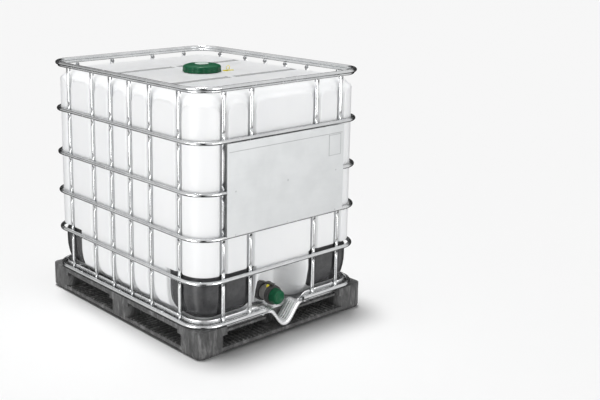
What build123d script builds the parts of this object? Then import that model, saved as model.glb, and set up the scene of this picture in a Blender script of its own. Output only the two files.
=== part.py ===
"""Intermediate bulk container: a plastic bottle in a tubular steel cage on a
plastic pallet, with a screw lid on top and a butterfly outlet valve in front.

Millimetres.  The origin is on the floor under the middle of the pallet, +Z is up,
the outlet valve faces -Y, and the 1200 mm side runs along Y.
"""
from build123d import *
from math import cos, radians, sin
import os

os.makedirs("parts", exist_ok=True)

# ---------------------------------------------------------------- driving sizes
width = 1000  # X, over the pallet
length = 1200  # Y, over the pallet
height = 1160  # Z, to the top of the cage rim
gap = 0.2  # between pieces that rest against each other
fit = 0.3  # running clearance of pieces that move

# cage tubes
tube_radius = 9
tube_bore = 8
tube_half_x = width / 2 - 11
tube_half_y = length / 2 - 11
tube_corner = 115
hoop_heights = (323, 514, 709, 926)
rail_height = 130
rim_height = height - tube_radius
rim_lobe_drop = 12.5
rim_lobe_inset = 8
rim_lobe_radius = 6.5
rail_opening = 118  # half width of the break in the rail in front of the valve
post_half_x = tube_half_x - 2 * tube_radius - gap
post_half_y = tube_half_y - 2 * tube_radius - gap
side_post_y = (432, 227, 74, -74, -227, -432)
front_post_x = (-346, -193, 193, 346)
back_post_x = (-335, -127, 127, 335)

# pallet
pallet_corner = 35
foot_height = 14
runner_top = 30
block_top = 84
slab_top = 93
deck_top = rail_height - tube_radius
block_size = 150
runner_width = 110
middle_runner = 120
deck_edge = 17  # depth of the deck's edge between the blocks
trough_half = 97
trough_cut = 524  # the deck and the pan are cut away in front of this line, over the trough

# base pan
sheet = 1.2
pan_half_x = 470
pan_half_y = 570
pan_corner = 105
pan_top = 152
notch_half = 14

# corner guards
guard_half_x = 461
guard_half_y = 561
guard_wall = 4
guard_bottom = 150
guard_top = 341
guard_reach_x = 165  # inner edge of a guard on the front and back
guard_reach_y = 350  # inner edge of a guard on the sides
guard_corner = 60

# bottle
wall = 2.4
bottle_half_x = 477
bottle_half_y = 577
bottle_corner = 105
core_half_x = 456
core_half_y = 556
core_corner = 92
bottle_floor = 97
bottle_top = 1120
panel_bottom = 160
shoulder = 62
flute_radius = 26
flute_axis = 16  # from the post plane outwards to the axis of its flute
groove_y = 212
groove_length = 395
groove_width = 46
groove_depth = 15
groove_bridge = 14
recess_half_front = 160  # the recess around the valve narrows and sinks towards its back
recess_half_back = 120
recess_top_front = 335
recess_top_back = 285
recess_depth = 600  # from the recess's top down, well below the bottle

# filler neck, lid and vent
neck_radius = 82.6
neck_bore = 72.5
neck_top = 1148
lid_radius = 93
lid_bottom = 1121.5
lid_top = 1157
lid_draft = 5
vent_bore = 25.2
vent_head = 33.5
vent_top = 1159.8

# outlet valve, all on one axis that runs along -Y
axis_z = 152
recess_y = -416
spout_end = -442
bore = 25
body_start = -444
stem_y = -482
collar_start = -499
collar_end = -522
spigot_end = -548
cap_end = -557


def keep(piece, name):
    """Label a finished piece and write it as its own STEP file."""
    piece.part.label = name
    export_step(piece.part, f"parts/{name}.step")


def round_box(half_x, half_y, corner, low, high):
    """A box with round vertical corners, added to the part being built."""
    with BuildSketch(Plane.XY.offset(low)) as outline:
        RectangleRounded(2 * half_x, 2 * half_y, corner)
    extrude(outline.sketch, amount=high - low)


def disc(radius, low, high, mode=Mode.ADD, x=0, y=0):
    """An upright cylinder from one height to another."""
    with BuildSketch(Plane.XY.offset(low)) as outline:
        with Locations((x, y)):
            Circle(radius)
    extrude(outline.sketch, amount=high - low, mode=mode)


def valve_plane(y):
    """The plane across the valve's axis at a place along Y, facing the front."""
    return Plane((0, y, axis_z), x_dir=(1, 0, 0), z_dir=(0, -1, 0))


def barrel(radius, start, end, mode=Mode.ADD):
    """A cylinder on the valve's axis, between two places along Y."""
    with BuildSketch(valve_plane(start)) as outline:
        Circle(radius)
    extrude(outline.sketch, amount=start - end, mode=mode)


# -------------------------------------------------------------------- the cage
post_places = {}
for number, y in enumerate(side_post_y, 1):
    post_places[f"post_left_{number}"] = (-post_half_x, y)
    post_places[f"post_right_{number}"] = (post_half_x, y)
for number, x in enumerate(front_post_x, 1):
    post_places[f"post_front_{number}"] = (x, -post_half_y)
for number, x in enumerate(back_post_x, 1):
    post_places[f"post_back_{number}"] = (x, post_half_y)

post_bottom = deck_top + 2
post_top = rim_height - rim_lobe_drop - rim_lobe_radius - gap
for name, (x, y) in post_places.items():
    with BuildPart() as post:
        with BuildSketch(Plane.XY.offset(post_bottom)):
            with Locations((x, y)):
                Circle(tube_radius)
                Circle(tube_bore, mode=Mode.SUBTRACT)
        extrude(amount=post_top - post_bottom)
    keep(post, name)

# Each hoop is one bent tube whose ends meet in the middle of the back.
seam = 0.3
for number, level in enumerate(hoop_heights, 1):
    with BuildPart() as hoop:
        with BuildLine(Plane.XY.offset(level)) as loop:
            FilletPolyline(
                (seam, tube_half_y),
                (tube_half_x, tube_half_y),
                (tube_half_x, -tube_half_y),
                (-tube_half_x, -tube_half_y),
                (-tube_half_x, tube_half_y),
                (-seam, tube_half_y),
                radius=tube_corner,
            )
        with BuildSketch(Plane(loop.line @ 0, x_dir=(0, 1, 0), z_dir=loop.line % 0)):
            Circle(tube_radius)
            Circle(tube_bore, mode=Mode.SUBTRACT)
        sweep()
    keep(hoop, f"hoop_{number}")

# The rim has a smaller lobe under its tube, set inwards, that caps the posts.
with BuildPart() as top_rim:
    with BuildLine(Plane.XY.offset(rim_height)) as loop:
        FilletPolyline(
            (seam, tube_half_y),
            (tube_half_x, tube_half_y),
            (tube_half_x, -tube_half_y),
            (-tube_half_x, -tube_half_y),
            (-tube_half_x, tube_half_y),
            (-seam, tube_half_y),
            radius=tube_corner,
        )
    with BuildSketch(Plane(loop.line @ 0, x_dir=(0, 1, 0), z_dir=loop.line % 0)):
        Circle(tube_radius)
        with Locations((-rim_lobe_inset, -rim_lobe_drop)):
            Circle(rim_lobe_radius)
            Circle(rim_lobe_radius - 1, mode=Mode.SUBTRACT)
        Circle(tube_bore, mode=Mode.SUBTRACT)
    sweep()
keep(top_rim, "top_rim")

bolt_places = [(side * tube_half_x, y) for side in (-1, 1) for y in (-330, 0, 330)]
bolt_places += [(x, tube_half_y) for x in (-230, 230)]
bolt_places += [(x, -tube_half_y) for x in (-400, 400)]
trough_bolt_places = [(x, -tube_half_y) for x in (-129, 129)]
bolt_radius = 3
bolt_hole = 3.3

# The bottom rail stops on both sides of the valve.
with BuildPart() as bottom_rail:
    with BuildLine(Plane.XY.offset(rail_height)) as loop:
        FilletPolyline(
            (rail_opening, -tube_half_y),
            (tube_half_x, -tube_half_y),
            (tube_half_x, tube_half_y),
            (-tube_half_x, tube_half_y),
            (-tube_half_x, -tube_half_y),
            (-rail_opening, -tube_half_y),
            radius=tube_corner,
        )
    with BuildSketch(Plane(loop.line @ 0, x_dir=(0, 1, 0), z_dir=loop.line % 0)):
        Circle(tube_radius)
        Circle(tube_bore, mode=Mode.SUBTRACT)
    sweep()
    with BuildSketch(Plane.XY.offset(rail_height - tube_radius - 1)):
        with Locations(*bolt_places, *trough_bolt_places):
            Circle(bolt_hole)
    extrude(amount=2 * tube_radius + 2, mode=Mode.SUBTRACT)
keep(bottom_rail, "bottom_rail")

rail_top = rail_height + tube_radius
bolt_head = 3
with BuildPart() as frame_bolts:
    for places, depth in ((bolt_places, 22), (trough_bolt_places, 8)):
        with BuildSketch(Plane.XY.offset(deck_top - depth)):
            with Locations(*places):
                Circle(bolt_radius)
        extrude(amount=rail_top - deck_top + depth)
    with BuildSketch(Plane.XY.offset(rail_top)):
        with Locations(*bolt_places, *trough_bolt_places):
            RegularPolygon(5.5, 6)
    extrude(amount=bolt_head)
    with BuildSketch(Plane.XY.offset(deck_top - 8)):
        with Locations(*trough_bolt_places):
            RegularPolygon(5.5, 6)
    extrude(amount=bolt_head)
keep(frame_bolts, "frame_bolts")

# ------------------------------------------------------------------ label plate
plate_half = 348
plate_low = 516
plate_high = 917
plate_sheet = 0.7
plate_back = -(tube_half_y + tube_radius + 0.1)
rivet_places = [(x, z) for x in (-300, 0, 300) for z in (hoop_heights[1] + 6, hoop_heights[2])]
with BuildPart() as label_plate:
    with BuildSketch(Plane.XZ.offset(-plate_back)):
        with Locations((0, (plate_low + plate_high) / 2)):
            RectangleRounded(2 * plate_half, plate_high - plate_low, 6)
        with Locations(*rivet_places):
            Circle(2.2, mode=Mode.SUBTRACT)
    extrude(amount=plate_sheet)
    with BuildSketch(Plane.XZ.offset(-plate_back + plate_sheet)):
        with Locations((plate_half - 58, plate_high - 90)):
            RectangleRounded(76, 96, 8)
            RectangleRounded(70, 90, 6, mode=Mode.SUBTRACT)
        with Locations((0, plate_high - 37)):
            Rectangle(2 * plate_half - 16, 3)
    extrude(amount=0.5)
keep(label_plate, "label_plate")

with BuildPart() as plate_rivets:
    with BuildSketch(Plane.XZ.offset(-plate_back)):
        with Locations(*rivet_places):
            Circle(2.2)
    extrude(amount=plate_sheet)
    with BuildSketch(Plane.XZ.offset(-plate_back + plate_sheet)):
        with Locations(*rivet_places):
            Circle(4)
    extrude(amount=1, taper=35)
keep(plate_rivets, "plate_rivets")

# ----------------------------------------------------------------------- pallet
half_x = width / 2
half_y = length / 2

# Bottom frame: runners round the edge and a cross in the middle, on four feet.
with BuildPart() as base_frame:
    with BuildSketch(Plane.XY.offset(foot_height)):
        RectangleRounded(width, length, pallet_corner)
        hole_x = half_x - runner_width - middle_runner / 2
        hole_y = half_y - runner_width - middle_runner / 2
        with GridLocations(hole_x + middle_runner, hole_y + middle_runner, 2, 2):
            RectangleRounded(hole_x, hole_y, 25, mode=Mode.SUBTRACT)
    extrude(amount=runner_top - foot_height)
    with BuildSketch(Plane.XY.offset(foot_height)):
        with GridLocations(width - block_size, length - block_size, 2, 2):
            RectangleRounded(block_size, block_size, pallet_corner)
    extrude(amount=-foot_height, taper=25)
keep(base_frame, "pallet_base_frame")

# Nine blocks carry the deck; the front one stands back behind the drip trough.
block_mid = half_x - block_size / 2
block_end = half_y - block_size / 2
block_places = {
    "pallet_block_front_left": [(-block_mid, -block_end)],
    "pallet_block_front_right": [(block_mid, -block_end)],
    "pallet_block_back_left": [(-block_mid, block_end)],
    "pallet_block_back_right": [(block_mid, block_end)],
    "pallet_block_middle": [(0, 0)],
    "pallet_edge_blocks": [(-block_mid, 0), (block_mid, 0), (0, block_end)],
}
for name, places in block_places.items():
    with BuildPart() as block:
        with BuildSketch(Plane.XY.offset(runner_top)):
            with Locations(*places):
                RectangleRounded(block_size, block_size, pallet_corner)
        extrude(amount=block_top - runner_top)
    keep(block, name)

with BuildPart() as front_block:
    with BuildSketch(Plane.XY.offset(runner_top)):
        with Locations((0, -block_end + 40)):
            RectangleRounded(middle_runner, 70, pallet_corner - 5)
    extrude(amount=block_top - runner_top)
keep(front_block, "pallet_block_front")

# Deck: a slab under the pan with a raised edge around it, open at the front.
front_open = half_x - block_size - 5
with BuildPart() as pallet_deck:
    round_box(half_x, half_y, pallet_corner, block_top, deck_top)
    with BuildSketch(Plane.XY.offset(slab_top)):
        RectangleRounded(2 * (pan_half_x + 0.6), 2 * (pan_half_y + 0.6), pan_corner)
    extrude(amount=deck_top - slab_top, mode=Mode.SUBTRACT)
    with BuildSketch(Plane.XY.offset(slab_top)):
        with Locations((0, -half_y + 15)):
            Rectangle(2 * front_open, 30)
    extrude(amount=deck_top - slab_top, mode=Mode.SUBTRACT)
    with BuildSketch(Plane.XY.offset(block_top)):
        bay = half_y - 1.5 * block_size
        with GridLocations(width, bay + block_size, 2, 2):
            Rectangle(48, bay)
        with GridLocations(front_open - block_size / 2 + block_size, 1, 2, 1):
            with Locations((0, half_y)):
                Rectangle(front_open - block_size / 2, 48)
        with Locations((0, -half_y)):
            Rectangle(2 * front_open, 48)
    extrude(amount=deck_top - deck_edge - block_top, mode=Mode.SUBTRACT)
    with BuildSketch(Plane.XY.offset(block_top)):
        with Locations((0, -half_y)):
            Rectangle(2 * trough_half + 6, 2 * (half_y - trough_cut))
    extrude(amount=deck_top - block_top, mode=Mode.SUBTRACT)
    with BuildSketch(Plane.XY.offset(deck_top - 24)):
        with Locations(*bolt_places):
            Circle(bolt_hole)
    extrude(amount=24, mode=Mode.SUBTRACT)
keep(pallet_deck, "pallet_deck")

# --------------------------------------------------------------------- base pan
pan_floor = slab_top + gap
with BuildPart() as base_pan:
    round_box(pan_half_x, pan_half_y, pan_corner, pan_floor, pan_top)
    with BuildSketch(Plane.XY.offset(pan_floor + sheet)):
        RectangleRounded(2 * (pan_half_x - sheet), 2 * (pan_half_y - sheet), pan_corner - sheet)
    extrude(amount=height, mode=Mode.SUBTRACT)
    with BuildSketch(Plane.XY.offset(deck_top)):
        with Locations(*post_places.values()):
            Rectangle(2 * notch_half, 2 * notch_half)
    extrude(amount=height, mode=Mode.SUBTRACT)
    with BuildSketch(Plane.XY.offset(pan_floor - 1)):
        with Locations((0, -half_y)):
            Rectangle(2 * trough_half + 6, 2 * (half_y - trough_cut))
    extrude(amount=height, mode=Mode.SUBTRACT)
keep(base_pan, "base_pan")

# Drip trough: a sheet bent to a deep V under the valve, with an ear on each side.
trough_sheet = 1.6
trough_front = -597
trough_back = -527
ear_top = deck_top - gap
ear_reach = 150
trough_floor = runner_top + 3
with BuildPart() as drip_trough:
    with BuildSketch(Plane.XZ.offset(-trough_back)):
        with BuildLine() as profile:
            FilletPolyline(
                (-trough_half, ear_top - trough_sheet / 2),
                (-trough_half + 22, ear_top - trough_sheet / 2),
                (-18, trough_floor),
                (18, trough_floor),
                (trough_half - 22, ear_top - trough_sheet / 2),
                (trough_half, ear_top - trough_sheet / 2),
                radius=14,
            )
        trace(line_width=trough_sheet)
    extrude(amount=trough_back - trough_front)
    with BuildSketch(Plane.XY.offset(ear_top - trough_sheet)):
        for side in (-1, 1):
            with Locations((side * (trough_half - 1 + ear_reach) / 2, -584.5)):
                Rectangle(ear_reach - trough_half + 1, 25)
        with Locations(*trough_bolt_places):
            Circle(bolt_hole, mode=Mode.SUBTRACT)
    extrude(amount=trough_sheet)
keep(drip_trough, "drip_trough")

# ---------------------------------------------------------------- corner guards
guard_names = {
    "corner_guard_front_left": (-1, -1),
    "corner_guard_front_right": (1, -1),
    "corner_guard_back_left": (-1, 1),
    "corner_guard_back_right": (1, 1),
}
for name, (side_x, side_y) in guard_names.items():
    with BuildPart() as guard:
        with BuildSketch(Plane.XY.offset(guard_bottom)):
            RectangleRounded(2 * guard_half_x, 2 * guard_half_y, pan_corner - 9)
            inner_corner = pan_corner - 9 - guard_wall
            inner_x = guard_half_x - guard_wall
            inner_y = guard_half_y - guard_wall
            RectangleRounded(2 * inner_x, 2 * inner_y, inner_corner, mode=Mode.SUBTRACT)
            with Locations((side_x * (guard_reach_x + 300), side_y * (guard_reach_y + 300))):
                Rectangle(600, 600, mode=Mode.INTERSECT)
        extrude(amount=guard_top - guard_bottom)
        ends = guard.edges().filter_by(Axis.X) + guard.edges().filter_by(Axis.Y)
        low_ends = [
            edge
            for edge in ends
            if edge.center().Z < guard_bottom + 1 and edge.length < guard_wall + 1
        ]
        fillet(low_ends, guard_corner)
    keep(guard, name)


# ----------------------------------------------------------------------- bottle
def bottle_form(inset):
    """The bottle's outer form, or its inside when drawn smaller by its wall."""
    with BuildPart() as form:
        low = bottle_floor + inset
        high = bottle_top - inset
        edge = max(shoulder - inset, 1)
        upper_x = bottle_half_x - inset
        upper_y = bottle_half_y - inset
        round_box(upper_x, upper_y, bottle_corner - inset, guard_top + 4 + inset, high)
        fillet(form.faces().sort_by(Axis.Z)[-1].edges(), edge)
        round_box(core_half_x - inset, core_half_y - inset, core_corner - inset, low, guard_top + 40)
        fillet(form.faces().sort_by(Axis.Z)[0].edges(), edge - 8)
        with BuildSketch(Plane.XY.offset(panel_bottom + inset)):
            Rectangle(2 * upper_x, 2 * (guard_reach_y - 8 - inset))
            with Locations((0, bottle_half_y / 2)):
                Rectangle(2 * (guard_reach_x - 8 - inset), bottle_half_y - 2 * inset)
        extrude(amount=guard_top - panel_bottom + 20)
        with BuildSketch(Plane.XY.offset(panel_bottom - 20)):
            for name, (x, y) in post_places.items():
                on_side = "left" in name or "right" in name
                out_x = flute_axis if on_side else 0
                out_y = 0 if on_side else flute_axis
                with Locations((x + (out_x if x > 0 else -out_x), y + (out_y if y > 0 else -out_y))):
                    Circle(flute_radius + inset)
        extrude(amount=height, mode=Mode.SUBTRACT)
        with BuildSketch(Plane.XZ.offset(half_y)):
            with Locations((0, recess_top_front + inset - recess_depth / 2)):
                RectangleRounded(2 * (recess_half_front + inset), recess_depth, 110)
        with BuildSketch(Plane.XZ.offset(-recess_y - inset)):
            with Locations((0, recess_top_back + inset - recess_depth / 2)):
                RectangleRounded(2 * (recess_half_back + inset), recess_depth, 90)
        loft(mode=Mode.SUBTRACT)
        with BuildSketch(Plane.XY.offset(high)):
            for x in (-1, 1):
                middle = (groove_bridge + groove_length) / 2
                for y in (-groove_y, groove_y):
                    with Locations((x * middle, y)):
                        slot_length = groove_length - groove_bridge + 2 * inset
                        SlotOverall(slot_length, groove_width + 2 * inset)
        extrude(amount=-groove_depth, taper=20, mode=Mode.SUBTRACT)
    return form.part


with BuildPart() as bottle:
    add(bottle_form(0))
    disc(neck_radius, bottle_top - 10, neck_top)
    barrel(bore + 6, recess_y + 10, spout_end)
    add(bottle_form(wall), mode=Mode.SUBTRACT)
    disc(neck_bore, bottle_top - 20, neck_top + 1, mode=Mode.SUBTRACT)
    barrel(bore, recess_y + 20, spout_end - 1, mode=Mode.SUBTRACT)
keep(bottle, "bottle")

# -------------------------------------------------------- lid, vent and its seal
lid_inside = lid_top - 5.5
with BuildPart() as lid:
    with BuildSketch(Plane.XY.offset(lid_bottom)):
        RegularPolygon(lid_radius, 12)
    extrude(amount=lid_top - lid_bottom, taper=lid_draft)
    fillet(lid.faces().sort_by(Axis.Z)[-1].edges(), 3)
    disc(neck_radius + fit + 0.2, lid_bottom, lid_inside, mode=Mode.SUBTRACT)
    disc(vent_bore + fit, lid_inside - 1, lid_top, mode=Mode.SUBTRACT)
keep(lid, "lid")

with BuildPart() as lid_gasket:
    disc(neck_radius - 0.5, neck_top + gap, lid_inside - gap)
    disc(neck_bore + 2, neck_top, lid_inside, mode=Mode.SUBTRACT)
keep(lid_gasket, "lid_gasket")

with BuildPart() as vent_gasket:
    disc(vent_head - 1.5, lid_top + 0.05, lid_top + 0.8)
    disc(vent_bore + 0.5, lid_top, lid_top + 1, mode=Mode.SUBTRACT)
keep(vent_gasket, "vent_gasket")

with BuildPart() as vent_plug:
    disc(vent_bore, neck_top - 8, lid_top + 1)
    disc(vent_head, lid_top + 0.85, vent_top)
    fillet(vent_plug.faces().sort_by(Axis.Z)[-1].edges(), 1)
    disc(vent_bore - 3, neck_top - 8, lid_top - 3, mode=Mode.SUBTRACT)
keep(vent_plug, "vent_plug")

# Tamper seal: a wire ring and a small tag that lie on the bottle beside the lid.
seal_angle = radians(-28)
seal_reach = lid_radius + 22
seal_x = seal_reach * cos(seal_angle)
seal_y = seal_reach * sin(seal_angle)
with BuildPart() as lid_seal_tag:
    with BuildSketch(Plane.XY.offset(bottle_top + 0.4)):
        with Locations((seal_x, seal_y)):
            Circle(14)
            Circle(11.5, mode=Mode.SUBTRACT)
        with Locations(Location((seal_x + 27, seal_y - 3, 0), (0, 0, -20))):
            RectangleRounded(32, 15, 4)
    extrude(amount=2.6)
keep(lid_seal_tag, "lid_seal_tag")

# ----------------------------------------------------------------- outlet valve
nut_shoulder = -450.3
with BuildPart() as union_nut:
    barrel(42, recess_y - 4, -454)
    with BuildSketch(valve_plane(recess_y - 4)):
        with PolarLocations(42, 12):
            Circle(2.4)
    extrude(amount=30)
    barrel(bore + 6.5, recess_y - 3, -436, mode=Mode.SUBTRACT)
    barrel(35.4, -436, nut_shoulder, mode=Mode.SUBTRACT)
    barrel(32.4, nut_shoulder, -455, mode=Mode.SUBTRACT)
keep(union_nut, "union_nut")

with BuildPart() as valve_gasket:
    barrel(34, spout_end - 0.1, body_start + 0.1)
    barrel(bore, spout_end, body_start, mode=Mode.SUBTRACT)
keep(valve_gasket, "valve_gasket")

boss_top = axis_z + 44
with BuildPart() as valve_body:
    barrel(35, body_start, -450)
    barrel(32, -450, -456)
    barrel(34, -455, collar_start)
    for start in (-459, -470, -492):
        barrel(35.6, start, start - 4)
    barrel(33, collar_start + 1, collar_end)
    barrel(29.8, collar_end, spigot_end)
    disc(13, axis_z + 30, boss_top, y=stem_y)
    barrel(bore, body_start + 1, spigot_end - 1, mode=Mode.SUBTRACT)
    disc(4.1, axis_z - 30, boss_top + 1, mode=Mode.SUBTRACT, y=stem_y)
keep(valve_body, "valve_body")

with BuildPart() as valve_collar:
    barrel(44, collar_start - 0.1, collar_end)
    with BuildSketch(valve_plane(collar_start - 0.1)):
        with PolarLocations(44, 24):
            Circle(1.2)
    extrude(amount=collar_start - 0.1 - collar_end)
    barrel(33.1, collar_start, collar_end - 1, mode=Mode.SUBTRACT)
keep(valve_collar, "valve_collar")

with BuildPart() as valve_disc:
    barrel(bore - 0.5, stem_y + 2.5, stem_y - 2.5)
    disc(7, axis_z - 23, axis_z + 23, y=stem_y)
    disc(4, axis_z - 26, axis_z + 26, mode=Mode.SUBTRACT, y=stem_y)
keep(valve_disc, "valve_disc")

with BuildPart() as valve_stem:
    disc(3.95, axis_z - 29, boss_top + 8, y=stem_y)
keep(valve_stem, "valve_stem")

with BuildPart() as valve_lever:
    disc(12, boss_top + fit, boss_top + 10, y=stem_y)
    with BuildSketch(Plane.XY.offset(boss_top + 3)):
        with Locations((0, stem_y - 20)):
            RectangleRounded(15, 36, 5)
    extrude(amount=7)
    disc(4, boss_top, boss_top + 8, mode=Mode.SUBTRACT, y=stem_y)
keep(valve_lever, "valve_lever")

# Lock plug in the side of the boss, which keeps the lever shut until it is pulled.
plug_way = Vector(-0.77, -0.64, 0)
with BuildPart() as lever_lock_plug:
    plug_start = Vector(0, stem_y, boss_top - 5) + plug_way * 13.6
    with BuildSketch(Plane(plug_start, z_dir=plug_way)):
        Circle(4.2)
    extrude(amount=6)
    fillet(lever_lock_plug.faces().sort_by(Axis.X)[0].edges(), 1.5)
keep(lever_lock_plug, "lever_lock_plug")

with BuildPart() as outlet_cap:
    with BuildSketch(valve_plane(collar_end - 1)):
        RegularPolygon(38, 8, rotation=22.5)
    extrude(amount=collar_end - 1 - cap_end, taper=4)
    fillet(outlet_cap.faces().sort_by(Axis.Y)[0].edges(), 2.5)
    barrel(30.3, collar_end, spigot_end - 2.7, mode=Mode.SUBTRACT)
keep(outlet_cap, "outlet_cap")

with BuildPart() as outlet_gasket:
    barrel(29.9, spigot_end - 0.2, spigot_end - 2.5)
    barrel(bore - 3, spigot_end, spigot_end - 3, mode=Mode.SUBTRACT)
keep(outlet_gasket, "outlet_gasket")
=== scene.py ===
"""Looks of the intermediate bulk container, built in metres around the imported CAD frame."""
from math import cos, hypot, pi, radians, sin

import bpy
import numpy as np
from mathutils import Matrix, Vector


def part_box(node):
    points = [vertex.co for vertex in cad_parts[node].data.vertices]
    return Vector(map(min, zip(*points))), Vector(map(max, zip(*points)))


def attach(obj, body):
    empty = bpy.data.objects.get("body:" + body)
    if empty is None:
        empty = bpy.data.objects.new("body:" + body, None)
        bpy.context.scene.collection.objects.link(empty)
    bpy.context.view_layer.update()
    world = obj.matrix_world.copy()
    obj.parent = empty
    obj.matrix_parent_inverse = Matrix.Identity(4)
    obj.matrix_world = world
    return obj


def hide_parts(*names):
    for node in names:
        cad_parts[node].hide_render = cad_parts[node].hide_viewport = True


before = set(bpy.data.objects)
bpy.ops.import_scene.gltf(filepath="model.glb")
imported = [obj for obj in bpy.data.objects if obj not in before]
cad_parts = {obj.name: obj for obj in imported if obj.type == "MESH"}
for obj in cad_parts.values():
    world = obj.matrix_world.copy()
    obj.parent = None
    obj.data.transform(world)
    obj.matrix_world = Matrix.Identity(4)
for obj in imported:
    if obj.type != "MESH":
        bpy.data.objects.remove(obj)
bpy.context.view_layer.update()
MM = 0.001
ROOT = "container"


# ------------------------------------------------------------------ materials
def material(name, color, roughness, metallic=0.0, specular=0.5):
    """A node material with one Principled shader; returns the material, its tree and the shader."""
    made = bpy.data.materials.new(name)
    made.use_nodes = True
    tree = made.node_tree
    shader = tree.nodes["Principled BSDF"]
    shader.inputs["Base Color"].default_value = (*color, 1)
    shader.inputs["Roughness"].default_value = roughness
    shader.inputs["Metallic"].default_value = metallic
    shader.inputs["Specular IOR Level"].default_value = specular
    return made, tree, shader


def position(tree, scale=(1, 1, 1)):
    """Object coordinates, stretched along each axis."""
    where = tree.nodes.new("ShaderNodeTexCoord")
    stretch = tree.nodes.new("ShaderNodeMapping")
    stretch.inputs["Scale"].default_value = scale
    tree.links.new(where.outputs["Object"], stretch.inputs["Vector"])
    return stretch.outputs["Vector"]


def noise(tree, where, scale, detail=4.0, rough=0.55, distortion=0.0):
    """Fractal noise read at a place."""
    made = tree.nodes.new("ShaderNodeTexNoise")
    made.inputs["Scale"].default_value = scale
    made.inputs["Detail"].default_value = detail
    made.inputs["Roughness"].default_value = rough
    made.inputs["Distortion"].default_value = distortion
    tree.links.new(where, made.inputs["Vector"])
    return made.outputs["Fac"]


def ramp(tree, value, stops):
    """A colour ramp over a value; stops are (place, colour) pairs."""
    made = tree.nodes.new("ShaderNodeValToRGB")
    points = made.color_ramp.elements
    while len(points) < len(stops):
        points.new(0.5)
    for point, (place, color) in zip(points, stops):
        point.position = place
        point.color = (*color, 1) if len(color) == 3 else color
    tree.links.new(value, made.inputs["Fac"])
    return made.outputs["Color"]


def span(tree, value, low, high, from_low=0.3, from_high=0.7):
    """A value mapped from one range to another."""
    made = tree.nodes.new("ShaderNodeMapRange")
    made.inputs["From Min"].default_value = from_low
    made.inputs["From Max"].default_value = from_high
    made.inputs["To Min"].default_value = low
    made.inputs["To Max"].default_value = high
    tree.links.new(value, made.inputs["Value"])
    return made.outputs["Result"]


def bump(tree, shader, height, strength, distance):
    """Bump from a height value, chained after any bump that is already there."""
    made = tree.nodes.new("ShaderNodeBump")
    made.inputs["Strength"].default_value = strength
    made.inputs["Distance"].default_value = distance
    tree.links.new(height, made.inputs["Height"])
    normal = shader.inputs["Normal"]
    if normal.is_linked:
        tree.links.new(normal.links[0].from_socket, made.inputs["Normal"])
    tree.links.new(made.outputs["Normal"], normal)


def zinc(name, light, dark, roughness, grain=(1, 1, 1), metallic=1.0, relief=0.12):
    """Bright zinc: faint cloudy tone, drawing lines and fine pitting."""
    made, tree, shader = material(name, light, roughness, metallic)
    cloud = noise(tree, position(tree), 9, 5)
    shade = ramp(tree, cloud, [(0.3, dark), (0.62, light)])
    tree.links.new(shade, shader.inputs["Base Color"])
    lines = noise(tree, position(tree, grain), 60, 3)
    tree.links.new(span(tree, lines, roughness - 0.06, roughness + 0.14), shader.inputs["Roughness"])
    bump(tree, shader, lines, relief, 0.0006)
    bump(tree, shader, noise(tree, position(tree), 420, 2), relief, 0.0002)
    return made


def hdpe(name, light=1.0):
    """Blow-moulded natural white: satin, slightly translucent, with faint flow lines."""
    made, tree, shader = material(name, (0.86, 0.87, 0.88), 0.36)
    shader.inputs["Subsurface Weight"].default_value = 0.22
    shader.inputs["Subsurface Radius"].default_value = (0.03, 0.03, 0.032)
    shader.inputs["Subsurface Scale"].default_value = 1.0
    cloud = noise(tree, position(tree, (1, 1, 0.35)), 3.2, 4)
    # light scales the tone; below 1 it gives a darker copy of the plastic, used as painted shade
    low_tone = tuple(light * value for value in (0.835, 0.845, 0.855))
    high_tone = tuple(light * value for value in (0.885, 0.89, 0.895))
    tint = ramp(tree, cloud, [(0.3, low_tone), (0.65, high_tone)])
    tree.links.new(tint, shader.inputs["Base Color"])
    flow = noise(tree, position(tree, (1, 1, 0.12)), 14, 4, distortion=0.3)
    tree.links.new(span(tree, flow, 0.30, 0.44), shader.inputs["Roughness"])
    bump(tree, shader, flow, 0.10, 0.004)
    bump(tree, shader, noise(tree, position(tree), 520, 2), 0.06, 0.0003)
    return made


def recycled(name, light=1.0):
    """Recycled black plastic: streaks of grey flow, scuffs and a coarse skin."""
    made, tree, shader = material(name, (0.06, 0.06, 0.062), 0.55)
    flow = noise(tree, position(tree, (1.6, 1.6, 0.35)), 20, 6, 0.68, distortion=1.2)
    # light scales the tones; above 1 it gives a lighter copy of the plastic, used as painted highlight
    tone = ramp(
        tree,
        flow,
        [(0.28, (0.035 * light,) * 3), (0.5, (0.085 * light,) * 3), (0.70, (0.24 * light,) * 3)],
    )
    tree.links.new(tone, shader.inputs["Base Color"])
    fine = noise(tree, position(tree, (1, 1, 0.6)), 90, 5, 0.6, distortion=0.6)
    tree.links.new(span(tree, fine, 0.42, 0.72), shader.inputs["Roughness"])
    bump(tree, shader, flow, 0.35, 0.004)
    bump(tree, shader, fine, 0.25, 0.001)
    return made


def moulded(name, color, dark, roughness, grain=0.0004, specular=0.5):
    """Injection-moulded plastic with a faint colour drift and a fine skin."""
    made, tree, shader = material(name, color, roughness, specular=specular)
    drift = noise(tree, position(tree), 30, 4)
    tree.links.new(ramp(tree, drift, [(0.3, dark), (0.65, color)]), shader.inputs["Base Color"])
    skin = noise(tree, position(tree), 700, 3)
    tree.links.new(span(tree, skin, roughness - 0.05, roughness + 0.08), shader.inputs["Roughness"])
    bump(tree, shader, skin, 0.15, grain)
    return made


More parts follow.
